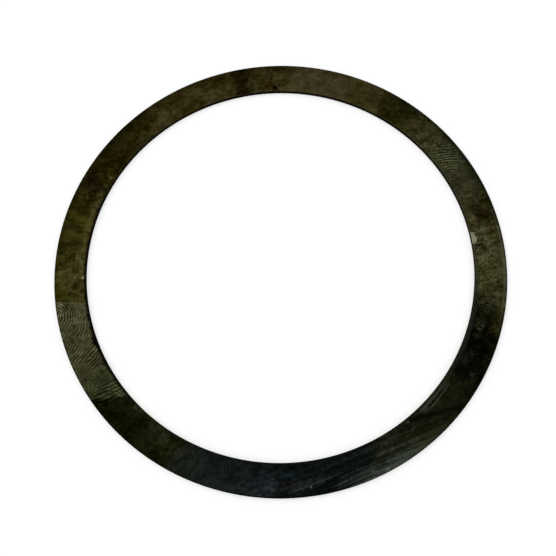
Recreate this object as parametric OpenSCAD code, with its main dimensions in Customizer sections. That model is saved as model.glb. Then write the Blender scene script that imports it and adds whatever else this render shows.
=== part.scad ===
// Adjusting shim: a thin flat ring, blanked from steel sheet as one piece.
// It lies on its lower face, the origin is the middle of that face, and +Z runs along the bore.
// Angles are in degrees, counter-clockwise from +X as seen from above.

/* [Ring] */
// Diameter of the bore, a loose fit on a 60 mm shaft
bore_d = 60.1; // [20:0.1:160]
// Width of the ring from the bore to the rim, which makes the rim a loose fit in a 70 mm housing
ring_w = 4.9; // [2:0.1:20]
// Thickness of the sheet, the size that a shim is chosen by
sheet_t = 0.8; // [0.5:0.05:2]

/* [Blanked edges] */
// Radius of the corner that the die rolled over, at the rim's upper edge
rim_roll_r = 0.25; // [0.05:0.01:0.3]
// Radius of the corner that the punch rolled over, at the bore's upper edge
bore_roll_r = 0.15; // [0.05:0.01:0.3]
// Radius of the deburred corner at the rim's lower edge
rim_break_r = 0.08; // [0.02:0.01:0.15]
// Radius of the deburred corner at the bore's lower edge
bore_break_r = 0.08; // [0.02:0.01:0.15]

/* [Punched pit] */
// Width of the round pit in the upper face
pit_w = 0.75; // [0.3:0.05:1.5]
// Depth of the pit
pit_depth = 0.16; // [0.05:0.01:0.3]
// Flat left between the bore's rolled corner and the pit
pit_land = 0.12; // [0:0.01:0.5]
// Where the pit lies round the ring
pit_angle = 91.3; // [0:0.1:360]

/* [Nick in the bore's edge] */
// Length of the nick along the edge
nick_w = 1; // [0.5:0.05:2]
// How far the nick reaches from the bore's wall into the upper face
nick_reach = 0.6; // [0.35:0.05:1.2]
// Depth of the nick below the upper face
nick_depth = 0.28; // [0.1:0.01:0.35]
// Where the nick lies round the ring
nick_angle = 203.7; // [0:0.1:360]

/* [Worn dent on the bore's edge] */
// Length of the dent along the edge
dent_w = 2; // [1:0.1:4]
// How far the dent reaches from the bore's wall into the upper face
dent_reach = 0.7; // [0.3:0.05:1.2]
// Depth of the dent below the upper face
dent_depth = 0.06; // [0.02:0.01:0.1]
// Where the dent lies round the ring
dent_angle = 7.2; // [0:0.1:360]

/* [Hidden] */
bore_r = bore_d / 2;
rim_r = bore_r + ring_w;
pit_outer_r = bore_r + bore_roll_r + pit_land + pit_w;
// How far the waste of a corner runs past the section's outline
overcut = 0.2;
$fn = 180;

// Waste that rounds off a corner at the origin, with the metal above it and to its right
module corner_waste(r) {
    difference() {
        translate([-overcut, -overcut])
            square(r + overcut);
        translate([r, r])
            circle(r);
    }
}

// Section of the blanked sheet, from the bore to the rim
module ring_section() {
    difference() {
        translate([bore_r, 0])
            square([ring_w, sheet_t]);
        translate([bore_r, 0])
            corner_waste(bore_break_r);
        translate([rim_r, 0])
            mirror([1, 0])
                corner_waste(rim_break_r);
        translate([bore_r, sheet_t])
            mirror([0, 1])
                corner_waste(bore_roll_r);
        translate([rim_r, sheet_t])
            rotate(180)
                corner_waste(rim_roll_r);
    }
}

// Ball that leaves a round dimple of this width and depth in the upper face, out to a radius from the axis.
// Its poles point along the ring, clear of every face that it cuts.
module dimple_ball(width, depth, outer_r, angle) {
    ball_r = (width * width / 4 + depth * depth) / (2 * depth);
    rotate(angle)
        translate([outer_r - width / 2, 0, sheet_t - depth + ball_r])
            rotate([90, 0, 0])
                sphere(ball_r);
}

module shim_ring() {
    color([0.13, 0.13, 0.10])
        difference() {
            rotate_extrude()
                ring_section();
            dimple_ball(pit_w, pit_depth, pit_outer_r, pit_angle);
            dimple_ball(nick_w, nick_depth, bore_r + nick_reach, nick_angle);
            dimple_ball(dent_w, dent_depth, bore_r + dent_reach, dent_angle);
        }
}

shim_ring();
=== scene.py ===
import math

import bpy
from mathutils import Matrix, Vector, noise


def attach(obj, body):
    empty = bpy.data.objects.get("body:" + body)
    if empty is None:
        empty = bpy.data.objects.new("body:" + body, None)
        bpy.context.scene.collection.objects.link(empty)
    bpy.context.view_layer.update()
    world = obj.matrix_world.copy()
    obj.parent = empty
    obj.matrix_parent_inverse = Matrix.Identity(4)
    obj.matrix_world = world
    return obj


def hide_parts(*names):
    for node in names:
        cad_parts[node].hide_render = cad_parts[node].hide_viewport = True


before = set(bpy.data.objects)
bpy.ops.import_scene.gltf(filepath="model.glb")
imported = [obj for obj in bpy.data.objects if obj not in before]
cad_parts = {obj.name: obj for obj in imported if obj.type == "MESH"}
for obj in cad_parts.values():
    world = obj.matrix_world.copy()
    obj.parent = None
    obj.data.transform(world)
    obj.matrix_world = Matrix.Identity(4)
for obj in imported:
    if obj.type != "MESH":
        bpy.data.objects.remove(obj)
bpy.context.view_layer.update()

# Looks of the adjusting shim: its surface in fine detail, its oiled steel, and a plain studio round it.
# Sizes are in millimetres until the mesh is made. Angles are in degrees, counter-clockwise from +X as seen
# from above, and a radius is measured from the bore's axis.

MM = 0.001

# The blanked ring
BORE_R = 30.05
RIM_R = 34.95
SHEET_T = 0.8
RIM_ROLL_R = 0.25
BORE_ROLL_R = 0.15
BREAK_R = 0.08
# The sheared walls: below this share of the thickness the metal tore, and lies a little deeper
TORN_SHARE = 0.4
TORN_SET_IN = 0.02
TORN_ROUGH = 0.012
# By what share the torn part's height varies, and how high the slope at its upper edge is
TEAR_WANDER = 0.25
TEAR_SLOPE = 0.06
# How fine its varying height is round the ring, and its grain round the ring and up the wall
WANDER_SCALE = 0.3
GRAIN_SCALE = (2.5, 9)
# Where in the noise each wall's pattern is taken, so that the two differ
BORE_SEED = 3.7
RIM_SEED = 8.1
# How far the rolled sheet dips between its high spots, and how many dips a millimetre holds
SHEET_DIP = 0.012
DIP_SCALE = 0.12

# Dimples pressed into the upper face: angle, outer radius, width, depth
PIT = (91.3, 31.07, 0.75, 0.16)
NICK = (203.7, 30.65, 1.0, 0.28)
DENT = (7.2, 30.75, 2.0, 0.06)
CHIPS = [
    (200.9, 30.75, 0.5, 0.10),
    (206.7, 30.35, 0.45, 0.12),
    (315.2, 30.3, 0.4, 0.06),
    (157.0, 30.3, 0.35, 0.05),
]
DIMPLES = [PIT, NICK, DENT] + CHIPS

# Dimples and dips lower only what lies above this height
LOWERED_ABOVE = 0.3
# A point this close to a wall's radius lies on the wall
NEAR_WALL = 0.01

# Steps between the mesh's cuts round the ring, in degrees
STEP = 0.5
FINE_STEP = 0.1
# Its cuts across the section: heights on the walls, radii on both faces, and closer ones by the bore
WALL_CUTS = (0.15, 0.22, 0.29, 0.34, 0.42)
BORE_TOP_CUT = 0.5
LOWER_CUTS = (31.25, 32.5, 33.75)
UPPER_CUTS = (34.66, 34.4, 34.0, 33.5, 33.0, 32.5, 32.0, 31.6, 31.3)
CLOSE_CUTS = [31.2 - 0.06 * k for k in range(17)]
# Room between the lengths of the mesh's map
MAP_GAP = 0.02

# Camera: where it stands and what it looks at, from the fit of both outlines
CAMERA_AT = (1.818, -36.078, 111.703)
CAMERA_AIM = (-0.242, -2.415, 0.8)
LENS = 48.85
# Nearest distance that it shows, in metres
CLIP_START = 0.005

# Studio, with its sizes in metres: the lamp stands to the upper left of the picture
LAMP_AZIMUTH = 150
LAMP_HEIGHT = 68
LAMP_DISTANCE = 0.9
LAMP_SIZE = 0.8
LAMP_WATTS = 1.2
ROOM_LIGHT = 0.52
FLOOR_GLOW = 0.52
FLOOR_GREY = 0.8
FLOOR_SIZE = 4


def tone(red, green, blue):
    """A colour as a picture shows it, 0 to 255, as the linear colour that a shader takes."""
    def linear(value):
        value /= 255
        return value / 12.92 if value <= 0.04045 else ((value + 0.055) / 1.055) ** 2.4
    return (linear(red), linear(green), linear(blue), 1.0)


# The ring's surface

def turn(angle, towards):
    """Shortest way from one angle to another, from -180 to 180."""
    return (towards - angle + 180) % 360 - 180


def dimple_depth(radius, angle):
    """How deep the dimples lie below the upper face at a place."""
    depth = 0
    for at, outer_r, width, deepest in DIMPLES:
        across = radius - (outer_r - width / 2)
        along = math.radians(turn(angle, at)) * radius
        share = (across * across + along * along) / (width * width / 4)
        if share < 1:
            depth = max(depth, deepest * (1 - share))
    return depth


def dip(radius, angle):
    """How far the sheet lies below its high spots at a place."""
    place = Vector((radius * math.cos(math.radians(angle)), radius * math.sin(math.radians(angle)), 0))
    return SHEET_DIP * (0.5 + 0.5 * noise.noise(place * DIP_SCALE))


def torn(height, angle, seed):
    """How far the torn part of a sheared wall lies inside the smooth part."""
    edge = TORN_SHARE * SHEET_T * (1 + TEAR_WANDER * noise.noise(Vector((angle * WANDER_SCALE, seed, 0))))
    share = max(0.0, min(1.0, (edge - height) / TEAR_SLOPE))
    grain = noise.noise(Vector((angle * GRAIN_SCALE[0], height * GRAIN_SCALE[1], seed)))
    return share * (TORN_SET_IN + TORN_ROUGH * grain)


def corner(radius, start, steps, middle):
    """Points of a quarter round, counter-clockwise from its start angle."""
    angles = [math.radians(start + 90 * k / steps) for k in range(steps + 1)]
    return [(middle[0] + radius * math.cos(a), middle[1] + radius * math.sin(a)) for a in angles]


def section():
    """Outline of the ring's section, radius and height, counter-clockwise from the bore's lower corner."""
    outline = corner(BREAK_R, 180, 3, (BORE_R + BREAK_R, BREAK_R))
    outline += [(r, 0) for r in LOWER_CUTS]
    outline += corner(BREAK_R, 270, 3, (RIM_R - BREAK_R, BREAK_R))
    outline += [(RIM_R, z) for z in WALL_CUTS]
    outline += corner(RIM_ROLL_R, 0, 5, (RIM_R - RIM_ROLL_R, SHEET_T - RIM_ROLL_R))
    outline += [(r, SHEET_T) for r in (*UPPER_CUTS, *CLOSE_CUTS)]
    outline += corner(BORE_ROLL_R, 90, 4, (BORE_R + BORE_ROLL_R, SHEET_T - BORE_ROLL_R))
    outline += [(BORE_R, z) for z in (BORE_TOP_CUT, *WALL_CUTS[::-1])]
    return outline


def cuts():
    """Angles of the mesh's cuts: close together over the dimples."""
    angles, angle = [], 0.0
    while angle < 360 - 1e-6:
        angles.append(angle)
        near = any(abs(turn(angle, at)) < math.degrees(width / BORE_R) for at, _, width, _ in DIMPLES)
        angle = round(angle + (FINE_STEP if near else STEP), 4)
    # Each length of the map starts at a quarter turn
    quarters = [quarter for quarter in (90.0, 180.0, 270.0) if quarter not in angles]
    return sorted(angles + quarters)


def surface_point(radius, height, angle):
    """Where a point of the plain section lies on the real surface."""
    share = max(0.0, (height - LOWERED_ABOVE) / (SHEET_T - LOWERED_ABOVE))
    lowered = height - share * (dimple_depth(radius, angle) + dip(radius, angle))
    if radius < BORE_R + NEAR_WALL:
        radius += torn(height, angle, BORE_SEED)
    elif radius > RIM_R - NEAR_WALL:
        radius -= torn(height, angle, RIM_SEED)
    a = math.radians(angle)
    return (radius * math.cos(a) * MM, radius * math.sin(a) * MM, lowered * MM)


def ring_mesh():
    """The ring as one closed mesh, with a map that lays its surface out in four straight lengths."""
    outline, angles = section(), cuts()
    many, cuts_round = len(outline), len(angles)
    points = [surface_point(r, z, angle) for angle in angles for r, z in outline]
    faces = []
    for i in range(cuts_round):
        here, there = i * many, (i + 1) % cuts_round * many
        for j in range(many):
            k = (j + 1) % many
            faces.append((here + j, there + j, there + k, here + k))
    mesh = bpy.data.meshes.new("shim_ring_surface")
    mesh.from_pydata(points, [], faces)
    mesh.polygons.foreach_set("use_smooth", [True] * len(faces))
    lay_out(mesh, outline, angles)
    mesh.validate()
    return mesh


def lay_out(mesh, outline, angles):
    """Gives the mesh its map: four lengths of a quarter turn, one above the other."""
    along = [0.0]
    for (r0, z0), (r1, z1) in zip(outline, outline[1:] + outline[:1]):
        along.append(along[-1] + math.hypot(r1 - r0, z1 - z0))
    places = []
    for i, angle in enumerate(angles):
        row = int(angle // 90)
        end = angles[i + 1] if i + 1 < len(angles) else 360.0
        low, high = [MAP_GAP + (1 - 2 * MAP_GAP) * (a - 90 * row) / 90 for a in (angle, end)]
        for j in range(len(outline)):
            ends = [s / along[-1] for s in (along[j], along[j + 1])]
            near, far = [(row + MAP_GAP + (1 - 2 * MAP_GAP) * share) / 4 for share in ends]
            places += [low, near, high, near, high, far, low, far]
    mesh.uv_layers.new(name="OFBake").data.foreach_set("uv", places)


# Shader nodes

class Graph:
    """The shader nodes of a material or world, added and joined so that a formula reads as one line."""

    def __init__(self, owner):
        owner.use_nodes = True
        self.tree = owner.node_tree
        self.tree.nodes.clear()

    def add(self, kind, **settings):
        """A new node of a kind, with these settings."""
        node = self.tree.nodes.new("ShaderNode" + kind)
        for name, value in settings.items():
            setattr(node, name, value)
        return node

    def feed(self, socket, value):
        """Joins another node's output to a socket, or sets the socket to a value."""
        if isinstance(value, bpy.types.NodeSocket):
            self.tree.links.new(value, socket)
        else:
            socket.default_value = value

    def math(self, operation, *values):
        """The result of a sum, product, root or the like."""
        node = self.add("Math", operation=operation)
        for socket, value in zip(node.inputs, values):
            self.feed(socket, value)
        return node.outputs[0]

    def product(self, *values):
        result = values[0]
        for value in values[1:]:
            result = self.math("MULTIPLY", result, value)
        return result

    def most(self, *values):
        """The largest of the values."""
        result = values[0]
        for value in values[1:]:
            result = self.math("MAXIMUM", result, value)
        return result

    def less(self, value):
        """One less the value."""
        return self.math("SUBTRACT", 1.0, value)

    def centred(self, value):
        """How far a value that runs from 0 to 1 lies above its middle."""
        return self.math("SUBTRACT", value, 0.5)

    def rise(self, value, low, high, start=0.0, end=1.0):
        """Climbs smoothly from start to end while the value goes from low to high."""
        node = self.add("MapRange", interpolation_type="SMOOTHSTEP")
        for socket, part in zip(node.inputs, (value, low, high, start, end)):
            self.feed(socket, part)
        return node.outputs[0]

    def vector(self, operation, a, b=(0, 0, 0), scale=1.0):
        """The result of a calculation with places or colours."""
        node = self.add("VectorMath", operation=operation)
        self.feed(node.inputs[0], a)
        if operation == "SCALE":
            self.feed(node.inputs["Scale"], scale)
        else:
            self.feed(node.inputs[1], b)
        return node.outputs["Value" if operation in ("DOT_PRODUCT", "DISTANCE") else "Vector"]

    def mix(self, factor, a, b, blend="MIX"):
        """Colour a with this share of colour b mixed in."""
        node = self.add("Mix", data_type="RGBA", blend_type=blend)
        for socket, value in ((node.inputs[0], factor), (node.inputs[6], a), (node.inputs[7], b)):
            self.feed(socket, value)
        return node.outputs[2]

    def shaded(self, colour, bright, paling):
        """The colour made so many times as bright, and paler where it gets brighter."""
        grey = self.add("RGBToBW")
        self.feed(grey.inputs[0], colour)
        paler = self.mix(paling, colour, grey.outputs[0])
        change = self.vector("MULTIPLY", paler, self.math("SUBTRACT", bright, 1.0))
        return self.vector("MAXIMUM", self.vector("ADD", colour, change), (0, 0, 0))

    def between(self, factor, a, b):
        """The value that lies this share of the way from one to another."""
        node = self.add("Mix", data_type="FLOAT")
        for socket, value in ((node.inputs[0], factor), (node.inputs[2], a), (node.inputs[3], b)):
            self.feed(socket, value)
        return node.outputs[0]

    def joined(self, x, y):
        """Two values as the place at which a pattern is looked up."""
        node = self.add("CombineXYZ")
        self.feed(node.inputs[0], x)
        self.feed(node.inputs[1], y)
        return node.outputs[0]

    def noise(self, place, scale, detail=2.0, rough=0.5):
        """Cloudy pattern from 0 to 1, with about this many spots in a millimetre."""
        node = self.add("TexNoise")
        self.feed(node.inputs["Vector"], place)
        node.inputs["Scale"].default_value = scale
        node.inputs["Detail"].default_value = detail
        node.inputs["Roughness"].default_value = rough
        return node.outputs["Fac"]

    def stretched(self, place, direction, along, across):
        """Place drawn out in a direction on the face, so that a pattern on it turns into streaks."""
        node = self.add("Mapping")
        self.feed(node.inputs["Vector"], self.turned(place, direction))
        node.inputs["Scale"].default_value = (along, across, 1)
        return node.outputs[0]

    def turned(self, place, direction):
        """Place turned so that a direction on the face becomes its first axis."""
        node = self.add("Mapping")
        self.feed(node.inputs["Vector"], place)
        node.inputs["Rotation"].default_value = (0, 0, math.radians(-direction))
        return node.outputs[0]


# The oiled steel: its tones, marks and patterns, some of them painted light
# A noise is given as its scale, its detail and its roughness, which is 0.5 where it isn't stated.

WORN_OLIVE = tone(55, 53, 30)
PALE_GREEN = tone(58, 60, 41)
GREY_OLIVE = tone(43, 43, 25)
OLIVE = tone(45, 42, 21)
DARK_OLIVE = tone(34, 32, 11)
SHADE_OLIVE = tone(31, 29, 9)
TAWNY = tone(50, 46, 24)
MOSS = tone(27, 30, 18)
DARK_MOSS = tone(16, 18, 7)
EARTH = tone(28, 24, 4)
WARM_BROWN = tone(55, 50, 31)
BROWN = tone(41, 37, 14)
DARK_BROWN = tone(25, 20, 5)
PLUM_BROWN = tone(20, 14, 5)
DULL_PLUM = tone(23, 19, 15)
DARK_EARTH = tone(18, 14, 2)
UMBER = tone(40, 36, 16)
YELLOW_OLIVE = tone(35, 33, 6)
BRIGHT_OLIVE = tone(40, 38, 10)
YELLOW_PALE = tone(60, 57, 20)
PALE_MARGIN = tone(57, 54, 29)
LEFT_MARGIN = tone(71, 67, 37)
PRINT_GREY = tone(64, 63, 44)
RIDGE_LIGHT = tone(88, 88, 64)
PRINT_SHADE = tone(42, 44, 26)
DEEP_GREEN = tone(14, 16, 4)
DARK_GREEN = tone(11, 12, 3)
CLEAR_GREY = tone(22, 25, 20)
BLUE_GREY = tone(19, 23, 22)
DIM_BLUE = tone(28, 33, 36)
TEAL_BLACK = tone(8, 12, 12)
TEAL = tone(22, 32, 34)
STREAK_GREY = tone(56, 61, 55)
STREAK_OLIVE = tone(47, 50, 36)
NEAR_BLACK = tone(5, 6, 3)
DEEP_TEAL = tone(6, 10, 9)
BARE_STEEL = tone(112, 114, 93)
STEEL_GLINT = tone(135, 135, 112)
# Black of the walls, also the black of painted shade on the rolled edges
WALL_AND_SHADE_BLACK = tone(12, 9, 5)
WALL_GREY = tone(38, 33, 25)
RUST_BROWN = tone(44, 26, 14)
PIT_BROWN = tone(10, 4, 2)
# Grey of painted light: a band on the bore's rolled edge and a reflection on the rim
EDGE_LIGHT_GREY = tone(31, 33, 28)
HOOK_GREY = tone(64, 66, 50)
# Pale grey of a painted highlight on the rim
RIM_HIGHLIGHT_GREY = tone(80, 82, 66)
GREY_GREEN = tone(32, 34, 22)
# Pale tone of wear, also the tone of some painted glints
WEAR_AND_GLINT_PALE = tone(96, 94, 66)

# Tones round the ring: the angle at which each takes over, how many degrees that takes, and the tone
# Partly painted reflection: the tones grow darker towards the lower right and dark blue-black at the bottom,
# over the oil's own tones
FIRST_TONE = WORN_OLIVE
TONES = [
    (9.5, 2.5, SHADE_OLIVE), (17.5, 4, GREY_OLIVE), (28.7, 4, PALE_GREEN), (38.5, 4, OLIVE),
    (47.5, 5, DARK_OLIVE), (58.5, 4, TAWNY), (70.5, 7, WARM_BROWN), (86, 6, TAWNY), (92, 5, UMBER),
    (104, 6, BROWN), (130, 8, EARTH), (164, 5, YELLOW_OLIVE), (178, 5, BRIGHT_OLIVE), (214, 1, DEEP_GREEN),
    (243, 6, CLEAR_GREY), (250, 5, BLUE_GREY), (269, 1.2, TEAL_BLACK), (295, 8, MOSS), (310, 6, DARK_MOSS),
    (326, 3, NEAR_BLACK), (342, 3, DARK_GREEN), (349, 3, WORN_OLIVE),
]

# Stains: middle angle and radius, half the length in degrees, half the width in mm, softness, tone, strength
STAINS = {
    "brown_cloud_right": (15.0, 32.8, 2.4, 1.9, 0.7, DARK_BROWN, 0.6),
    "olive_right": (6.5, 33.0, 4.0, 2.6, 0.7, OLIVE, 0.75),
    "pale_bore_right": (12.5, 30.5, 3.0, 0.8, 0.7, WORN_OLIVE, 0.9),
    "rim_shade_right": (34.0, 34.8, 21.0, 0.9, 0.6, DEEP_GREEN, 0.5),
    "rim_shade_right_b": (22.0, 34.3, 5.5, 0.9, 0.8, DARK_OLIVE, 0.5),
    "olive_upper_right": (42.0, 32.6, 2.2, 1.2, 0.8, DARK_OLIVE, 0.35),
    "dark_rim_right": (5.8, 34.3, 2.0, 0.8, 0.8, DARK_OLIVE, 0.55),
    "shade_upper_right": (52.5, 34.6, 6.5, 1.5, 0.8, DEEP_GREEN, 0.65),
    "bore_shade_upper_right": (32.0, 31.0, 4.5, 0.9, 0.8, OLIVE, 0.35),
    "pale_upper_right": (41.0, 30.9, 4.0, 0.9, 0.8, PALE_GREEN, 0.4),
    "brown_upper_right": (65.5, 32.3, 2.6, 1.6, 0.8, BROWN, 0.5),
    "plum_upper_right": (60.5, 31.9, 2.4, 1.3, 0.8, PLUM_BROWN, 0.35),
    "rim_shade_top": (106.0, 34.8, 26.0, 1.3, 0.8, DARK_BROWN, 0.7),
    "dark_left_of_pit": (100.8, 31.6, 1.7, 3.6, 0.7, DARK_EARTH, 1.0),
    "pale_bore_top": (111.5, 30.9, 3.2, 0.9, 0.8, WARM_BROWN, 0.5),
    "pale_bore_upper_left": (132.5, 31.0, 6.0, 0.9, 0.7, WARM_BROWN, 0.6),
    "pale_upper_left": (118.0, 32.4, 11.0, 1.3, 0.9, TAWNY, 0.3),
    "dark_bore_upper_left": (120.5, 31.0, 2.2, 1.2, 0.8, EARTH, 0.9),
    "rim_shade_upper_left": (143.0, 34.9, 16.0, 1.3, 0.8, DEEP_GREEN, 0.55),
    "dark_upper_left": (142.0, 33.0, 5.0, 1.8, 0.9, DARK_BROWN, 0.65),
    "plum_left": (155.5, 32.8, 3.0, 1.7, 0.8, PLUM_BROWN, 0.9),
    "red_by_pit": (91.5, 31.4, 2.6, 1.4, 0.9, RUST_BROWN, 0.3),
    "dim_rim_left": (168.0, 34.3, 4.5, 0.8, 0.8, EARTH, 0.4),
    "pale_left_bore": (168.0, 30.65, 6.5, 0.6, 0.7, LEFT_MARGIN, 0.4),
    "pale_left_bore_b": (180.5, 30.8, 3.5, 0.6, 0.7, PALE_MARGIN, 0.35),
    "dark_left_d": (187.0, 31.6, 2.6, 1.4, 0.7, DARK_OLIVE, 0.6),
    "shade_below_print": (221.5, 33.8, 3.0, 1.4, 0.6, NEAR_BLACK, 0.15),
    "grey_bore_lower_left": (226.5, 30.5, 4.5, 0.45, 0.7, GREY_OLIVE, 0.35),
    "tan_lower_left": (238.7, 32.8, 1.3, 0.9, 0.9, TAWNY, 0.2),
    "dark_lower_left": (242.5, 32.6, 2.0, 1.0, 0.8, DEEP_GREEN, 0.35),
    "green_lower_left": (236.5, 31.0, 3.0, 1.1, 0.9, GREY_GREEN, 0.6),
    "green_bore_lower_left": (231.0, 30.6, 7.0, 0.7, 0.9, GREY_GREEN, 0.3),
    # Partly painted reflection: these dark blue and teal patches at the bottom are stains with a painted
    # blue-black reflection in them
    "dark_bottom_left": (248.5, 32.0, 1.4, 2.6, 0.8, TEAL_BLACK, 0.4),
    "dark_bore_bottom_left": (254.5, 31.0, 4.5, 1.3, 0.8, TEAL_BLACK, 0.5),
    "blue_bottom": (266.0, 33.4, 3.2, 1.9, 0.6, DIM_BLUE, 1.0),
    "dark_bottom": (265.5, 31.0, 4.0, 1.0, 0.8, TEAL_BLACK, 1.0),
    "teal_bottom": (273.5, 31.2, 2.4, 0.6, 0.8, TEAL, 0.5),
    "brown_smear_bottom": (272.8, 33.6, 2.4, 0.5, 0.8, DULL_PLUM, 0.6),
    "pale_rim_lower_right": (297.5, 34.5, 6.0, 0.8, 0.9, STREAK_GREY, 0.6),
    "shade_in_print": (214.3, 32.3, 1.5, 1.5, 0.8, DARK_OLIVE, 0.5),
    "dark_wedge_lower_right": (308.0, 30.7, 3.0, 0.6, 0.6, NEAR_BLACK, 0.85),
    "green_lower_right": (320.5, 32.8, 3.0, 1.1, 0.9, GREY_GREEN, 0.15),
    "haze_lower_right": (331.5, 31.2, 2.6, 0.8, 0.9, CLEAR_GREY, 0.5),
    "haze_lower_right_b": (327.8, 33.2, 1.0, 0.8, 0.9, CLEAR_GREY, 0.7),
    "green_rim_lower_right": (333.5, 34.2, 3.6, 0.7, 0.9, DEEP_GREEN, 0.85),
    "black_right": (338.0, 32.2, 5.5, 1.6, 0.7, NEAR_BLACK, 0.85),
    "green_rim_right": (344.5, 34.3, 3.6, 0.8, 0.8, OLIVE, 0.5),
    "dark_bore_right": (346.0, 31.6, 4.4, 2.1, 0.7, DEEP_GREEN, 0.95),
    "dim_rim_right": (354.0, 34.0, 5.0, 0.9, 0.8, OLIVE, 0.6),
}

# Small sharp marks, in the same form, among them painted highlights (the glints) and painted shade on the
# bore's rolled edge
MARKS = {
    "dark_by_spot": (5.1, 31.0, 0.35, 0.6, 0.7, NEAR_BLACK, 1.0),
    "dark_by_spot_b": (4.2, 31.7, 0.5, 0.35, 0.9, NEAR_BLACK, 0.7),
    "dark_by_spot_c": (3.3, 32.0, 0.6, 0.4, 0.9, DEEP_GREEN, 0.7),
    # Painted highlights: the glints that follow
    "glint_left": (184.2, 30.55, 0.3, 0.16, 0.8, STEEL_GLINT, 0.6),
    "glint_left_b": (178.3, 31.4, 0.3, 0.3, 0.9, WEAR_AND_GLINT_PALE, 0.35),
    "glint_left_c": (184.0, 31.75, 0.4, 0.25, 0.9, WEAR_AND_GLINT_PALE, 0.4),
    "glint_bottom": (277.6, 33.65, 0.2, 0.14, 0.9, STEEL_GLINT, 0.35),
    "glint_lower_right": (293.0, 34.0, 0.35, 0.12, 0.9, STEEL_GLINT, 0.2),
    "glint_lower_right_b": (296.5, 34.5, 0.4, 0.12, 0.9, STEEL_GLINT, 0.25),
    "glint_lower_right_c": (307.4, 30.6, 0.35, 0.1, 0.9, STEEL_GLINT, 0.2),
    "glint_upper_left": (151.8, 30.75, 0.4, 0.25, 0.9, WEAR_AND_GLINT_PALE, 0.28),
    "pit_floor": (91.4, 30.68, 0.75, 0.42, 0.5, PIT_BROWN, 1.0),
    "nick_shade": (203.7, 30.4, 1.3, 0.4, 0.5, NEAR_BLACK, 1.0),
    "nick_shade_low": (206.0, 30.22, 2.0, 0.26, 0.6, PIT_BROWN, 1.0),
    # Painted shade on the bore's rolled edge, which turns away from the lamp
    "bore_roll_painted_shade": (191.0, 30.1, 37.0, 0.21, 0.5, WALL_AND_SHADE_BLACK, 0.95),
    "bore_dark_bottom": (273.0, 30.15, 40.0, 0.3, 0.6, TEAL_BLACK, 0.7),
    "hook_line": (317.5, 30.95, 5.0, 0.09, 0.8, NEAR_BLACK, 0.8),
}

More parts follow.
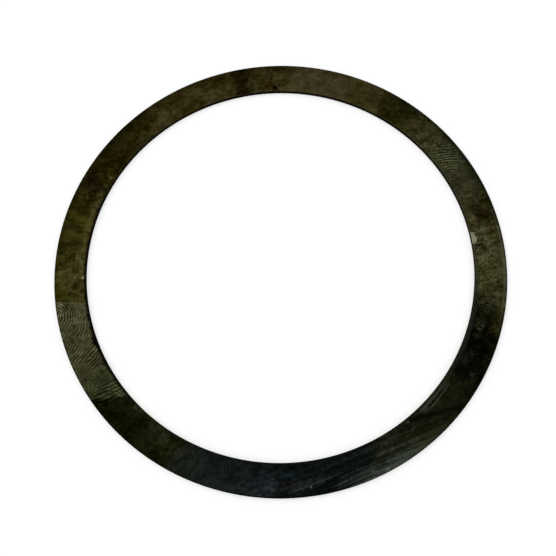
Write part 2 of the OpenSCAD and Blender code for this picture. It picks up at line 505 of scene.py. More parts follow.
# Broken lines and margins, which the film's finest spots interrupt. Some are painted light on the rolled
# edges: shade, a highlight, a reflection and a grey band.
BROKEN_MARKS = {
    "print_top_shade": (191.8, 30.9, 1.7, 0.8, 0.9, OLIVE, 0.4),
    "worn_streak": (7.3, 32.15, 0.9, 0.12, 0.9, WEAR_AND_GLINT_PALE, 0.75),
    "worn_streak_low": (5.9, 32.5, 0.7, 0.14, 0.9, WEAR_AND_GLINT_PALE, 0.6),
    "dark_swirl": (4.6, 31.8, 1.3, 0.5, 0.9, DARK_OLIVE, 0.7),
    "hook_bore": (317.5, 30.6, 5.5, 0.2, 0.8, HOOK_GREY, 0.65),
    "hook_start": (313.2, 30.8, 1.0, 0.3, 0.8, HOOK_GREY, 0.55),
    "hook_arc": (317.0, 31.25, 3.5, 0.12, 0.8, HOOK_GREY, 0.7),
    "hook_end": (321.8, 31.0, 1.4, 0.2, 0.8, HOOK_GREY, 0.5),
    "dark_left_a": (163.4, 32.9, 1.3, 2.0, 0.8, DARK_BROWN, 0.85),
    "dark_left_b": (169.2, 33.0, 0.9, 1.8, 0.8, DARK_BROWN, 0.85),
    "dark_left_c": (174.8, 32.8, 1.5, 1.7, 0.8, DARK_BROWN, 0.6),
    "pale_left_a": (166.4, 32.3, 1.0, 1.6, 0.9, YELLOW_PALE, 0.5),
    "pale_left_b": (171.8, 32.4, 1.1, 1.8, 0.9, YELLOW_PALE, 0.5),
    "brown_core": (15.9, 31.9, 1.1, 0.6, 0.9, DARK_BROWN, 0.75),
    "brown_core_b": (14.4, 32.7, 1.0, 0.5, 0.9, DARK_BROWN, 0.3),
    "dim_bore_right": (18.5, 31.0, 4.0, 0.8, 0.8, OLIVE, 0.4),
    "dim_right_above": (26.0, 33.2, 4.0, 1.2, 0.8, GREY_OLIVE, 0.6),
    "bore_margin_upper_right": (31.0, 30.3, 13.0, 0.4, 0.8, MOSS, 0.45),
    "rim_dark_right": (29.0, 34.66, 14.0, 0.36, 0.6, DEEP_GREEN, 0.8),
    "rim_dark_right_b": (25.5, 34.0, 4.5, 0.7, 0.8, MOSS, 0.5),
    "rim_dark_upper_left": (141.0, 34.2, 2.6, 0.7, 0.8, DEEP_GREEN, 0.35),
    "rim_dark_top": (112.0, 34.2, 3.2, 0.7, 0.8, EARTH, 0.3),
    "pale_rim_right_b": (1.0, 34.0, 2.4, 0.6, 0.8, WORN_OLIVE, 0.45),
    "pale_rim_upper_right": (42.0, 33.9, 3.5, 0.6, 0.8, PALE_GREEN, 0.3),
    "pale_rim_right": (347.5, 34.2, 2.5, 0.7, 0.8, WORN_OLIVE, 0.5),
    "rim_dark_left": (169.0, 34.5, 9.0, 0.4, 0.8, DEEP_GREEN, 0.4),
    "dim_left": (182.3, 32.6, 2.4, 1.0, 0.8, DARK_OLIVE, 0.35),
    "dim_right": (347.2, 32.5, 2.4, 0.9, 0.8, DEEP_GREEN, 0.25),
    "dim_rim_far_right": (357.0, 34.0, 3.2, 0.7, 0.8, OLIVE, 0.35),
    "dim_bore_top": (72.6, 31.1, 2.6, 0.8, 0.9, OLIVE, 0.4),
    "dim_bore_print": (192.6, 31.0, 2.2, 0.7, 0.8, OLIVE, 0.3),
    "dark_streaks": (286.5, 32.5, 3.6, 0.8, 0.8, DEEP_TEAL, 0.6),
    "dark_bore_streaks": (302.3, 31.1, 2.8, 0.6, 0.8, DARK_MOSS, 0.35),
    # Painted shade along the bore at the lower left, standing for its dark wall and the shadow beside it
    "bore_painted_shade_lower_left": (208.0, 30.18, 19.0, 0.34, 0.4, NEAR_BLACK, 0.95),
    # Painted light: a grey band on the bore's rolled edge at the right, which faces the lamp
    "bore_edge_painted_light_right": (342.5, 30.3, 22.0, 0.42, 0.7, EDGE_LIGHT_GREY, 0.8),
    # Painted shade on the rim's rolled edge at the right, which turns away from the lamp
    "rim_roll_painted_shade": (14.0, 34.86, 46.0, 0.13, 0.5, NEAR_BLACK, 0.85),
    # Painted shade on the rim's rolled edge at the left
    "rim_roll_painted_shade_left": (199.0, 34.9, 32.0, 0.13, 0.5, WALL_AND_SHADE_BLACK, 0.9),
    # Painted highlight: a pale line where the rim begins to roll over at the right
    "rim_painted_highlight_right": (359.0, 34.5, 12.0, 0.2, 0.8, RIM_HIGHLIGHT_GREY, 0.58),
    # Painted reflection: a grey line on the rim's rolled edge at the lower right
    "rim_painted_reflection_lower_right": (334.0, 34.86, 11.0, 0.1, 0.6, EDGE_LIGHT_GREY, 0.8),
}

# Marks that the short striae interrupt
STRIATED_MARKS = {
    "bore_margin_left": (166.0, 30.8, 10.0, 0.35, 1.0, LEFT_MARGIN, 0.6),
    "bore_margin_left_b": (171.0, 31.2, 7.0, 0.5, 1.0, YELLOW_PALE, 0.4),
}

# Corners, x and y, of the bare spot that wear left at the bore's edge, counter-clockwise on the face, and
# its softness in mm
WORN_SPOT = [(29.5, 2.9), (30.27, 3.05), (30.7, 3.6), (30.25, 4.8), (29.5, 4.97)]
WORN_SPOT_SOFT = 0.1

# Corners of the dark band that crosses the wiped streaks
DARK_BAND = [(18.8, -24.45), (26.6, -22.45), (26.4, -21.8), (18.7, -23.8)]

# Finger ridges: middle angle and radius, half length in degrees, half width in mm, softness,
# direction of the ridges on the face, radius of their bend, spacing in mm, strength
RIDGES = {
    "hatch": (202.5, 32.5, 8.0, 3.0, 0.4, 63, 18, 0.41, 0.85),
    "whorl": (194.2, 33.7, 3.8, 2.0, 0.4, 100, 1.6, 0.42, 1.0),
    "fan": (196.5, 31.0, 3.6, 1.5, 0.6, 86, 12, 0.41, 0.8),
    "slanted": (207.5, 31.7, 4.2, 2.2, 0.5, 53, 30, 0.45, 1.0),
    "loops": (213.6, 32.6, 3.4, 2.6, 0.7, 130, 1.5, 0.55, 0.5),
    "shallow": (218.3, 32.4, 2.8, 3.2, 0.4, 24, 20, 0.55, 1.0),
    "right": (33.2, 32.3, 7.2, 2.6, 0.7, 5, -18, 0.455, 1.0),
    "arcs": (256.0, 32.4, 3.2, 1.7, 0.7, 77, 2.4, 0.5, 0.55),
}

# How far ridges and furrows differ in brightness, the noise that moves them, and how far it does, in mm
RIDGE_CONTRAST = 1.25
RIDGE_NOISE = (0.8, 2.0)
RIDGE_WOBBLE = 0.65

# From which to which value of a wave a furrow turns into a ridge, and of the middle clouds ridges appear
RIDGE_FORM = (-0.6, 0.7)
RIDGE_GAPS = (0.28, 0.45)

# The large print: between which heights on the face its top and its lower end fade, between which x its
# right side does, the noise that moves its ends and how far it does, and how well the print covers
PRINT_TOP_Y = (-5.7, -5.9)
PRINT_END_Y = (-20.85, -20.45)
PRINT_RIGHT_X = (-18.0, -19.0)
PRINT_NOISE = (1.2, 4.0, 0.6)
PRINT_WANDER = 0.6
PRINT_STRENGTH = 0.92

# How much its lower end climbs for each millimetre to the right, counted from here
PRINT_END_SLANT = 0.13
PRINT_END_FROM_X = -27.5

# Its shaded lower end: middle angle and radius, half length, half width, softness, and the shade's strength
PRINT_END = (215.0, 32.6, 7.0, 5.0, 0.6)
PRINT_END_STRENGTH = 0.9

# Direction of the wiped streaks on the face, and ovals for where they and the haze beside the rim lie
WIPED = 22
WIPED_AREA = (293.5, 32.6, 21, 3.8, 0.25)
RIM_HAZE = (301, 34.7, 11, 1.2, 0.9)

# How many streaks a millimetre holds along and across their direction, their noise, and how much they count
BROAD_STREAKS = (0.04, 0.9)
BROAD_NOISE = (1.0, 2.0, 0.5)
BROAD_SHARE = 0.4
THIN_STREAKS = (0.08, 3.2)
THIN_NOISE = (1.0, 3.0, 0.68)
THIN_SHARE = 0.6

# How much the middle clouds change the streaks
STREAK_MOTTLING = 0.2

# Values of the streaks' noise at which dark and pale ones begin and are whole, and from and to which values
# the haze changes its strength, and how strong it is at both
DARK_STREAKS = (0.54, 0.42)
PALE_STREAKS = (0.465, 0.55)
HAZE_STREAKS = (0.42, 0.56, 0.2, 1.1)

# Dark streaks cover less towards the rim, and pale ones more towards the rim and the right: from and to
# which radius or angle, and how well at both
DARK_BY_RADIUS = (33.4, 34.6, 0.75, 0.45)
PALE_BY_RADIUS = (31.6, 34.4, 0.12, 1.0)
PALE_BY_ANGLE = (272, 297, 0.5, 1.0)

# Angles between which the tones of dark and of pale streaks change
DARK_CHANGE = (287, 301)
PALE_CHANGE = (298, 307)

# The dark band's softness in mm, and how well it covers
DARK_BAND_SOFT = 0.25
DARK_BAND_STRENGTH = 0.75

# How borders wander: scale of the clouds that move them, reach in degrees and in mm, and the offsets at
# which the clouds for angle and radius are taken. Stains wander far, and small marks keep their places.
LOOSE = (0.5, 13.0, 4.5, 0.0, 40.0)
CLOSE = (1.8, 1.4, 0.8, 10.0, 50.0)

# Detail and roughness of those clouds
BORDER_CLOUDS = (4.0, 0.65)

# Borders of straight-sided patches: the noise that moves them, and how far it does, in mm
PATCH_NOISE = (3.0, 3.0)
PATCH_WANDER = 0.5

# Direction of the sheet's grain on the face, and how much finer the mottling gets along and across it
GRAIN = 18
GRAIN_STRETCH = (0.82, 1.1)

# The film's clouds and striae: how many spots a millimetre holds, or a degree for striae, detail, roughness
COARSE = (0.6, 4.0, 0.65)
MIDDLE = (2.0, 3.0, 0.6)
FINE = (5.5, 2.0, 0.6)
STRIAE = (1.0, 4.0, 0.72)

# How quickly striae change along themselves
STRIAE_ALONG = 0.3

# How bright each of them makes the film: from which to which noise value, and how bright at both
COARSE_LIGHT = (0.32, 0.68, 0.6, 1.38)
MIDDLE_LIGHT = (0.3, 0.7, 0.68, 1.33)
FINE_LIGHT = (0.3, 0.7, 0.78, 1.2)
STRIAE_LIGHT = (0.32, 0.68, 0.72, 1.35)

# How uneven the oil film is, how much of a colour turns to grey as it gets brighter, and where both differ:
# middle angle and radius, half length, half width, softness, change in unevenness, change in paling
UNEVEN = 1.5
PALING = 0.3
FILM = {
    "right_print": (32.0, 32.5, 8.0, 4.0, 0.4, -0.6, -0.2),
    "upper_right": (50.0, 32.5, 6.0, 4.0, 0.5, -0.3, 0.0),
    "top": (74.0, 32.5, 17.0, 4.0, 0.3, -0.65, -0.12),
    "upper_left": (122.0, 32.5, 26.0, 4.0, 0.3, -0.35, -0.02),
    "left": (166.0, 32.5, 22.0, 4.0, 0.3, -0.05, -0.12),
    "print": (205.0, 32.5, 14.0, 4.0, 0.2, -0.7, -0.2),
    "lower_left": (240.0, 32.5, 22.0, 4.0, 0.3, -0.3, -0.05),
    "bottom_left": (256.0, 32.5, 10.0, 4.0, 0.4, -0.4, 0.0),
    "hook": (318.5, 32.5, 6.5, 4.0, 0.5, -0.4, 0.0),
    "lower_right": (335.0, 32.5, 10.0, 4.0, 0.3, 0.4, -0.15),
}

# Where short striae cross the ring: middle angle and radius, half length, half width, softness, strength
STRIATED = {
    "left": (170.0, 32.9, 17.0, 2.6, 0.5, 1.15),
    "right": (15.0, 33.2, 9.0, 2.2, 0.6, 0.6),
    "right_below": (354.0, 32.8, 6.0, 2.2, 0.6, 0.35),
}

# Where worn oil leaves pale speckles: middle angle and radius, half length, half width, softness, strength
SPECKLED = {
    "right": (358.0, 31.7, 11.0, 1.8, 0.6, 0.75),
    "left": (180.0, 31.7, 8.0, 1.8, 0.8, 0.2),
    "lower_right": (341.3, 31.9, 1.9, 0.8, 0.7, 0.42),
    "upper_right": (42.0, 31.2, 4.0, 1.2, 0.9, 0.3),
    "right_above": (23.0, 31.8, 6.0, 1.5, 0.9, 0.3),
}

# Pale lines curl where their noise passes its middle value: where it is taken, the noise, and the distances
# from that value at which a line begins and is whole
CURL_OFFSET = (0, 90, 0)
CURL_NOISE = (2.1, 2.0, 0.55)
CURL_LINE = (0.07, 0.02)

# Speckles lie where the middle and the fine clouds are both bright, and crowd where the coarse ones are
SPECKLE_MIDDLE = (0.54, 0.68)
SPECKLE_FINE = (0.35, 0.6)
SPECKLE_CROWD = (0.35, 0.55, 0.3, 1.0)

# The two ways in which clouds of the film turn a colour, and ovals where they turn it this much less
BROWNISH = (1.1, 0.94, 0.85, 1)
GREENISH = (0.92, 1.05, 1.05, 1)
PLAIN_FILM = [(32, 32.5, 8, 5, 0.4), (358, 32.5, 13, 5, 0.4), (74, 32.5, 16, 5, 0.3), (273, 32.5, 34, 5, 0.2)]
PLAINNESS = 0.6

# Where the noise of those clouds is taken, its scale, detail and roughness, and between which of its values
# brown changes to green
HUE_OFFSET = (70, 0, 0)
HUE_NOISE = (1.4, 4.0, 0.7)
HUE_CHANGE = (0.36, 0.64)

# The bore's worn edge: at which distances from the bore it ends and is whole, from which to which value of
# the fine clouds it appears, and how well it covers
WORN_EDGE = (0.28, 0.12)
WORN_EDGE_GAPS = (0.3, 0.6)
WORN_EDGE_STRENGTH = 0.3

# Broken marks gain strength with the fine clouds, and striated ones with the striae: from and to which
# value, and how strong they are at both
BROKEN_GAPS = (0.3, 0.6, 0.5, 1.0)
STRIATED_GAPS = (0.8, 1.15, 0.2, 1.0)

# Where the walls' own tone begins and is whole: distance from the bore, from the rim and from the upper
# face. Then how well it covers the film.
BORE_WALL = (0.08, 0.04)
RIM_WALL = (0.12, 0.05)
WALL_TOP = (0.04, 0.12)
WALL_STRENGTH = 0.9

# How many drag lines of the walls a degree holds, how quickly they change upwards, their noise, and between
# which of its values black changes to grey
DRAG_LINES = (3.7, 0.8)
DRAG_NOISE = (1.0, 3.0, 0.6)
DRAG_CHANGE = (0.35, 0.7)

# Noise of the torn part's rust, and between which of its values black changes to brown
RUST_NOISE = (6.0, 3.0)
RUST_CHANGE = (0.35, 0.7)

# Heights between which the walls' tone changes from smooth to torn, and how far that border wanders
TORN_FROM = (0.42, 0.34)
TORN_WANDER = 0.1

# Heights at which the tone of the lower face begins and is whole, its noise, and between which values of it
# brown changes to olive
LOWER_FACE = (0.12, 0.04)
LOWER_NOISE = (0.16, 3.0)
LOWER_CHANGE = (0.35, 0.65)

# The metal's sheen at a glancing angle
FACE_SHEEN = 0.45

# Its roughness: the noise, from which to which value of it and how rough at both, and how much more on marks
ROUGH_NOISE = (0.8, 3.0)
ROUGHNESS = (0.2, 0.8, 0.34, 0.52)
ROUGHER_ON_MARKS = 0.1

# The strength of its bumps, and their depth in mm
BUMP_STRENGTH = 0.35
BUMP_DEPTH = 0.01


class Place:
    """Coordinates on the ring that the steel's patterns use, each pair an angle and a radius."""

    def __init__(self, graph):
        metres = graph.add("TexCoord").outputs["Object"]
        self.at = graph.vector("SCALE", metres, scale=1 / MM)
        node = graph.add("SeparateXYZ")
        graph.feed(node.inputs[0], self.at)
        self.x, self.y, self.z = node.outputs
        squares = graph.math("ADD", graph.product(self.x, self.x), graph.product(self.y, self.y))
        self.radius = graph.math("SQRT", squares)
        around = graph.math("DEGREES", graph.math("ARCTAN2", self.y, self.x))
        self.angle = graph.math("WRAP", around, 360.0, 0.0)
        self.exact = (self.angle, self.radius)
        self.loose = self.wandering(graph, *LOOSE)
        self.close = self.wandering(graph, *CLOSE)

    def wandering(self, graph, scale, degrees, distance, angle_offset, radius_offset):
        """Angle and radius moved about, so that borders drawn with them wander."""
        angle = self.shifted(graph, self.angle, scale, degrees, angle_offset)
        return angle, self.shifted(graph, self.radius, scale, distance, radius_offset)

    def shifted(self, graph, value, scale, reach, offset):
        """A value moved about by a cloudy pattern."""
        place = graph.vector("ADD", self.at, (offset, offset, offset))
        cloud = graph.noise(place, scale, *BORDER_CLOUDS)
        return graph.math("ADD", value, graph.product(graph.centred(cloud), reach))


class Clouds:
    """Cloudy patterns of the oil film, from coarse to fine, and its short striae across the ring."""

    def __init__(self, graph, place):
        grain = graph.stretched(place.at, GRAIN, *GRAIN_STRETCH)
        self.coarse = graph.noise(grain, *COARSE)
        self.middle = graph.noise(grain, *MIDDLE)
        self.fine = graph.noise(place.at, *FINE)
        across = graph.joined(place.close[0], graph.product(place.radius, STRIAE_ALONG))
        self.striae = graph.rise(graph.noise(across, *STRIAE), *STRIAE_LIGHT)


def spot(graph, where, oval):
    """One inside an oval on the ring and nothing outside it."""
    angle, radius = where
    at, middle_r, half_length, half_width, soft = oval
    away = graph.math("WRAP", graph.math("SUBTRACT", angle, at), 180.0, -180.0)
    along = graph.math("DIVIDE", away, half_length)
    across = graph.math("DIVIDE", graph.math("SUBTRACT", radius, middle_r), half_width)
    reach = graph.math("SQRT", graph.math("ADD", graph.product(along, along), graph.product(across, across)))
    return graph.rise(reach, 1 - soft, 1 + soft, 1.0, 0.0)


def patch(graph, place, corners, soft):
    """One inside a straight-sided patch of the face, whose corners are listed counter-clockwise."""
    inside = 1.0
    cloud = graph.noise(place.at, *PATCH_NOISE)
    ragged = graph.product(graph.centred(cloud), PATCH_WANDER)
    for (x0, y0), (x1, y1) in zip(corners, corners[1:] + corners[:1]):
        length = math.hypot(x1 - x0, y1 - y0)
        outwards = ((y1 - y0) / length, (x0 - x1) / length, 0)
        side = outwards[0] * x0 + outwards[1] * y0
        reach = graph.math("ADD", graph.vector("DOT_PRODUCT", place.at, outwards), ragged)
        inside = graph.product(inside, graph.rise(graph.math("SUBTRACT", reach, side), soft, -soft))
    return inside


def tones_round(graph, place):
    """The tone round the ring: the oil's own, with a painted reflection that makes it darker towards the
    lower right and blue-black at the bottom.
    """
    colour = FIRST_TONE
    for start, width, next_tone in TONES:
        share = graph.rise(place.loose[0], start - width / 2, start + width / 2)
        colour = graph.mix(share, colour, next_tone)
    return colour


def with_patches(graph, where, colour, patches, common=1.0):
    """The colour with stains or marks mixed in one after the other, all of them times a common strength."""
    for *oval, patch_tone, strength in patches.values():
        share = graph.product(spot(graph, where, oval), common, strength)
        colour = graph.mix(share, colour, patch_tone)
    return colour


def print_area(graph, place):
    """One where the large print lies."""
    ragged = graph.product(graph.noise(place.at, *PRINT_NOISE), PRINT_WANDER)
    height = graph.math("ADD", place.y, ragged)
    below_top = graph.rise(height, *PRINT_TOP_Y)
    slant = graph.product(graph.math("SUBTRACT", place.x, PRINT_END_FROM_X), PRINT_END_SLANT)
    above_end = graph.rise(graph.math("SUBTRACT", height, slant), *PRINT_END_Y)
    return graph.product(below_top, above_end, graph.rise(place.x, *PRINT_RIGHT_X))


def with_print(graph, place, colour, printed):
    """The colour with the large print, which is greyer than the oil round it and shaded at its lower end."""
    colour = graph.mix(graph.product(printed, PRINT_STRENGTH), colour, PRINT_GREY)
    shade = graph.product(spot(graph, place.loose, PRINT_END), printed, PRINT_END_STRENGTH)
    return graph.mix(shade, colour, PRINT_SHADE)


def film(graph, place, clouds):
    """How bright the oil film makes a colour, and how much of the colour then turns to grey."""
    bright = graph.product(
        graph.rise(clouds.coarse, *COARSE_LIGHT),
        graph.rise(clouds.middle, *MIDDLE_LIGHT),
        graph.rise(clouds.fine, *FINE_LIGHT),
    )
    uneven, paling = UNEVEN, PALING
    for *oval, more_uneven, more_paling in FILM.values():
        share = spot(graph, place.loose, oval)
        uneven = graph.math("ADD", uneven, graph.product(share, more_uneven))
        paling = graph.math("ADD", paling, graph.product(share, more_paling))
    bright = graph.math("POWER", bright, uneven)
    for *oval, strength in STRIATED.values():
        share = spot(graph, place.loose, oval)
        bright = graph.product(bright, graph.math("POWER", clouds.striae, graph.product(share, strength)))
    return bright, paling


def with_hue(graph, place, colour, printed):
    """The colour turned to brown in some clouds and to green in others, and less where the film is plain."""
    cloud = graph.noise(graph.vector("ADD", place.at, HUE_OFFSET), *HUE_NOISE)
    turn_to = graph.mix(graph.rise(cloud, *HUE_CHANGE), BROWNISH, GREENISH)
    plain = graph.most(*[spot(graph, place.exact, oval) for oval in PLAIN_FILM], printed)
    turned = graph.mix(1.0, colour, turn_to, "MULTIPLY")
    return graph.mix(graph.less(graph.product(plain, PLAINNESS)), colour, turned)


def with_speckles(graph, place, clouds, colour):
    """The colour with curling pale lines and speckles where the film is worn."""
    curl = graph.noise(graph.vector("ADD", place.at, CURL_OFFSET), *CURL_NOISE)
    line = graph.rise(graph.math("ABSOLUTE", graph.centred(curl)), *CURL_LINE)
    grains = graph.product(graph.rise(clouds.middle, *SPECKLE_MIDDLE), graph.rise(clouds.fine, *SPECKLE_FINE))
    speckle = graph.most(line, grains)
    crowd = graph.rise(clouds.coarse, *SPECKLE_CROWD)
    for *oval, strength in SPECKLED.values():
        share = graph.product(spot(graph, place.loose, oval), speckle, crowd, strength)
        colour = graph.mix(share, colour, RIDGE_LIGHT)
    return colour


def finger_ridges(graph, place):
    """Ridges of all finger marks, from 0 in a furrow to 1 on a ridge, and where they show."""
    ridges, shown = None, None
    cloud = graph.noise(place.at, *RIDGE_NOISE)
    wobble = graph.product(graph.centred(cloud), RIDGE_WOBBLE)
    flat = graph.vector("MULTIPLY", place.at, (1, 1, 0))
    for *oval, direction, bend, spacing, strength in RIDGES.values():
        middle, heading = math.radians(oval[0]), math.radians(direction)
        centre_x = oval[1] * math.cos(middle) - bend * math.sin(heading)
        centre_y = oval[1] * math.sin(middle) + bend * math.cos(heading)
        far = graph.math("ADD", graph.vector("DISTANCE", flat, (centre_x, centre_y, 0)), wobble)
        wave = graph.math("SINE", graph.product(far, 2 * math.pi / spacing))
        ridge = graph.rise(wave, *RIDGE_FORM)
        share = graph.product(spot(graph, place.close, oval), strength)
        if ridges is None:
            ridges, shown = ridge, share
        else:
            ridges, shown = graph.between(share, ridges, ridge), graph.most(shown, share)
    return ridges, shown


def with_streaks(graph, place, clouds, colour):
    """The colour with the dark and pale streaks that wiping left at the lower right."""
    wiped = spot(graph, place.loose, WIPED_AREA)
    broad = graph.noise(graph.stretched(place.at, WIPED, *BROAD_STREAKS), *BROAD_NOISE)
    thin = graph.noise(graph.stretched(place.at, WIPED, *THIN_STREAKS), *THIN_NOISE)
    streaks = graph.math("ADD", graph.product(broad, BROAD_SHARE), graph.product(thin, THIN_SHARE))
    mottling = graph.product(graph.centred(clouds.middle), STREAK_MOTTLING)
    streaks = graph.math("ADD", streaks, mottling)

    by_radius = graph.rise(place.radius, *DARK_BY_RADIUS)
    dark = graph.product(graph.rise(streaks, *DARK_STREAKS), wiped, by_radius)
    dark_tone = graph.mix(graph.rise(place.loose[0], *DARK_CHANGE), DEEP_TEAL, DARK_MOSS)
    colour = graph.mix(dark, colour, dark_tone)

    by_radius, by_angle = graph.rise(place.radius, *PALE_BY_RADIUS), graph.rise(place.angle, *PALE_BY_ANGLE)
    pale = graph.product(graph.rise(streaks, *PALE_STREAKS), by_radius, by_angle)
    haze = graph.product(spot(graph, place.loose, RIM_HAZE), graph.rise(thin, *HAZE_STREAKS))
    pale_tone = graph.mix(graph.rise(place.loose[0], *PALE_CHANGE), STREAK_GREY, STREAK_OLIVE)
    colour = graph.mix(graph.most(graph.product(pale, wiped), haze), colour, pale_tone)
    band = graph.product(patch(graph, place, DARK_BAND, DARK_BAND_SOFT), DARK_BAND_STRENGTH)
    return graph.mix(band, colour, NEAR_BLACK)


def with_all_marks(graph, place, clouds, colour):
    """The colour with the worn edge of the bore and all small marks, among them painted glints and painted
    light and shade on the rolled edges.
    """
    from_bore = graph.math("SUBTRACT", place.radius, BORE_R)
    worn_edge = graph.product(graph.rise(from_bore, *WORN_EDGE), graph.rise(clouds.fine, *WORN_EDGE_GAPS))
    colour = graph.mix(graph.product(worn_edge, WORN_EDGE_STRENGTH), colour, PRINT_GREY)
    broken = graph.rise(clouds.fine, *BROKEN_GAPS)
    colour = with_patches(graph, place.close, colour, BROKEN_MARKS, broken)
    striated = graph.rise(clouds.striae, *STRIATED_GAPS)
    colour = with_patches(graph, place.close, colour, STRIATED_MARKS, striated)
    colour = with_patches(graph, place.close, colour, MARKS)
    return graph.mix(patch(graph, place, WORN_SPOT, WORN_SPOT_SOFT), colour, BARE_STEEL)


def wall_area(graph, place):
    """One on both sheared walls, up to the steep part of their rolled corners."""
    bore_wall = graph.rise(graph.math("SUBTRACT", place.radius, BORE_R), *BORE_WALL)
    rim_wall = graph.rise(graph.math("SUBTRACT", RIM_R, place.radius), *RIM_WALL)
    below_face = graph.rise(graph.math("SUBTRACT", SHEET_T, place.z), *WALL_TOP)
    return graph.product(graph.most(bore_wall, rim_wall), below_face)


def wall_tone(graph, place, clouds):
    """Dark steel with upright drag lines, and below them the rust-brown part where the metal tore."""
    drawn = graph.joined(graph.product(place.angle, DRAG_LINES[0]), graph.product(place.z, DRAG_LINES[1]))
    drag_lines = graph.rise(graph.noise(drawn, *DRAG_NOISE), *DRAG_CHANGE)
    rust = graph.rise(graph.noise(place.at, *RUST_NOISE), *RUST_CHANGE)
    torn_part = graph.rise(graph.math("ADD", place.z, graph.product(clouds.fine, TORN_WANDER)), *TORN_FROM)
    smooth_tone = graph.mix(drag_lines, WALL_AND_SHADE_BLACK, WALL_GREY)
    torn_tone = graph.mix(rust, WALL_AND_SHADE_BLACK, RUST_BROWN)
    return graph.mix(torn_part, smooth_tone, torn_tone)


def with_lower_face(graph, place, colour, bright):
    """The colour with that of the lower face, which the oil darkened evenly."""
    cloud = graph.noise(place.at, *LOWER_NOISE)
    under = graph.mix(graph.rise(cloud, *LOWER_CHANGE), DARK_BROWN, OLIVE)
    under = graph.mix(1.0, under, bright, "MULTIPLY")
    return graph.mix(graph.rise(place.z, *LOWER_FACE), colour, under)


def oiled_steel():
    """Blackened sheet steel with an oil film, finger marks, stains and light scratches, with painted light:
    glints, shade and highlights on the rolled edges, and a darker reflection towards the bottom.
    """
    material = bpy.data.materials.new("oiled_steel")
    graph = Graph(material)
    place = Place(graph)
    clouds = Clouds(graph, place)

    printed = print_area(graph, place)
    bright, paling = film(graph, place, clouds)
    colour = with_patches(graph, place.loose, tones_round(graph, place), STAINS)
    colour = with_print(graph, place, colour, printed)
    colour = graph.shaded(colour, bright, paling)
    colour = with_hue(graph, place, colour, printed)
    colour = with_speckles(graph, place, clouds, colour)

    ridges, shown = finger_ridges(graph, place)
    ridges = graph.product(ridges, graph.rise(clouds.middle, *RIDGE_GAPS))
    relief = graph.product(graph.centred(ridges), shown, RIDGE_CONTRAST)
    colour = graph.shaded(colour, graph.math("ADD", relief, 1.0), paling)

    colour = with_streaks(graph, place, clouds, colour)
    colour = with_all_marks(graph, place, clouds, colour)
    wall = wall_area(graph, place)
    colour = graph.mix(graph.product(wall, WALL_STRENGTH), colour, wall_tone(graph, place, clouds))
    colour = with_lower_face(graph, place, colour, bright)

    shader = graph.add("BsdfPrincipled")
    graph.feed(shader.inputs["Base Color"], colour)
    # The sheared walls are too rough and dirty to shine
    graph.feed(shader.inputs["Metallic"], graph.less(wall))
    shader.inputs["Specular IOR Level"].default_value = 0.0
    shader.inputs["Specular Tint"].default_value = (FACE_SHEEN, FACE_SHEEN, FACE_SHEEN, 1)
    rough = graph.rise(graph.noise(place.at, *ROUGH_NOISE), *ROUGHNESS)
    rough = graph.math("ADD", rough, graph.product(graph.most(shown, wall), ROUGHER_ON_MARKS))
    graph.feed(shader.inputs["Roughness"], rough)
    bump = graph.add("Bump")
    bump.inputs["Strength"].default_value = BUMP_STRENGTH
    bump.inputs["Distance"].default_value = BUMP_DEPTH * MM
    graph.feed(bump.inputs["Height"], graph.math("ADD", clouds.fine, graph.product(ridges, shown)))
    graph.feed(shader.inputs["Normal"], bump.outputs[0])
    out = graph.add("OutputMaterial")
    graph.feed(out.inputs["Surface"], shader.outputs[0])
    return material


# The studio

def seen_directly(graph):
    """One for what the camera sees, also in metal and through glass."""
    path = graph.add("LightPath").outputs
    return graph.most(path["Is Camera Ray"], path["Is Glossy Ray"], path["Is Transmission Ray"])


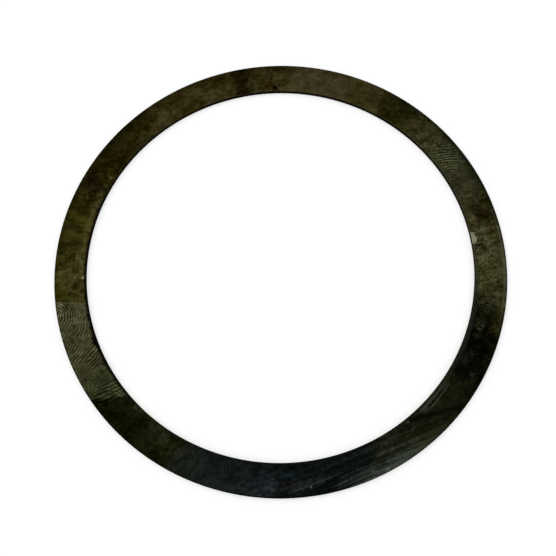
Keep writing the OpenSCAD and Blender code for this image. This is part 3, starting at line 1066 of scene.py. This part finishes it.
def make_floor():
    """A large white floor, which glows so that the camera sees it as plain white."""
    bpy.ops.mesh.primitive_plane_add(size=FLOOR_SIZE)
    floor = bpy.context.object
    floor.name = "floor"
    material = bpy.data.materials.new("white_floor")
    graph = Graph(material)
    matt = graph.add("BsdfDiffuse")
    matt.inputs["Color"].default_value = (FLOOR_GREY, FLOOR_GREY, FLOOR_GREY, 1)
    glow = graph.add("Emission")
    graph.feed(glow.inputs["Strength"], graph.product(seen_directly(graph), FLOOR_GLOW))
    both = graph.add("AddShader")
    graph.feed(both.inputs[0], matt.outputs[0])
    graph.feed(both.inputs[1], glow.outputs[0])
    graph.feed(graph.add("OutputMaterial").inputs["Surface"], both.outputs[0])
    floor.data.materials.append(material)


def light_room():
    """Dim light from all sides, and plain white where the camera looks past the floor."""
    world = bpy.data.worlds.new("room")
    bpy.context.scene.world = world
    graph = Graph(world)
    background = graph.add("Background")
    background.inputs["Color"].default_value = (1, 1, 1, 1)
    graph.feed(background.inputs["Strength"], graph.most(seen_directly(graph), ROOM_LIGHT))
    graph.feed(graph.add("OutputWorld").inputs["Surface"], background.outputs[0])


def aimed(obj, at, aim):
    """Puts a lamp or camera at a place, turned towards another, with +Y of the ring upwards in its view."""
    back = (Vector(at) - Vector(aim)).normalized()
    right = Vector((0, 1, 0)).cross(back).normalized()
    turned = Matrix((right, back.cross(right), back)).transposed()
    obj.matrix_world = Matrix.LocRotScale(at, turned.to_quaternion(), None)
    bpy.context.scene.collection.objects.link(obj)


def add_lamp():
    """One large round lamp, which gives the ring its soft shadow."""
    lamp = bpy.data.lights.new("lamp", "AREA")
    lamp.shape = "DISK"
    lamp.size = LAMP_SIZE
    lamp.energy = LAMP_WATTS
    azimuth, height = math.radians(LAMP_AZIMUTH), math.radians(LAMP_HEIGHT)
    level = math.cos(height)
    direction = Vector((math.cos(azimuth) * level, math.sin(azimuth) * level, math.sin(height)))
    aimed(bpy.data.objects.new("lamp", lamp), direction * LAMP_DISTANCE, (0, 0, 0))


def add_camera():
    """The camera that took the photograph, as fitted to the ring's outlines."""
    camera = bpy.data.cameras.new("camera")
    camera.lens = LENS
    camera.clip_start = CLIP_START
    holder = bpy.data.objects.new("camera", camera)
    aimed(holder, Vector(CAMERA_AT) * MM, Vector(CAMERA_AIM) * MM)
    bpy.context.scene.camera = holder


ring = bpy.data.objects.new("shim_ring_surface", ring_mesh())
bpy.context.scene.collection.objects.link(ring)
ring.data.materials.append(oiled_steel())
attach(ring, "root")
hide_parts("shim_ring")

make_floor()
light_room()
add_lamp()
add_camera()
bpy.context.scene.view_settings.view_transform = "Standard"
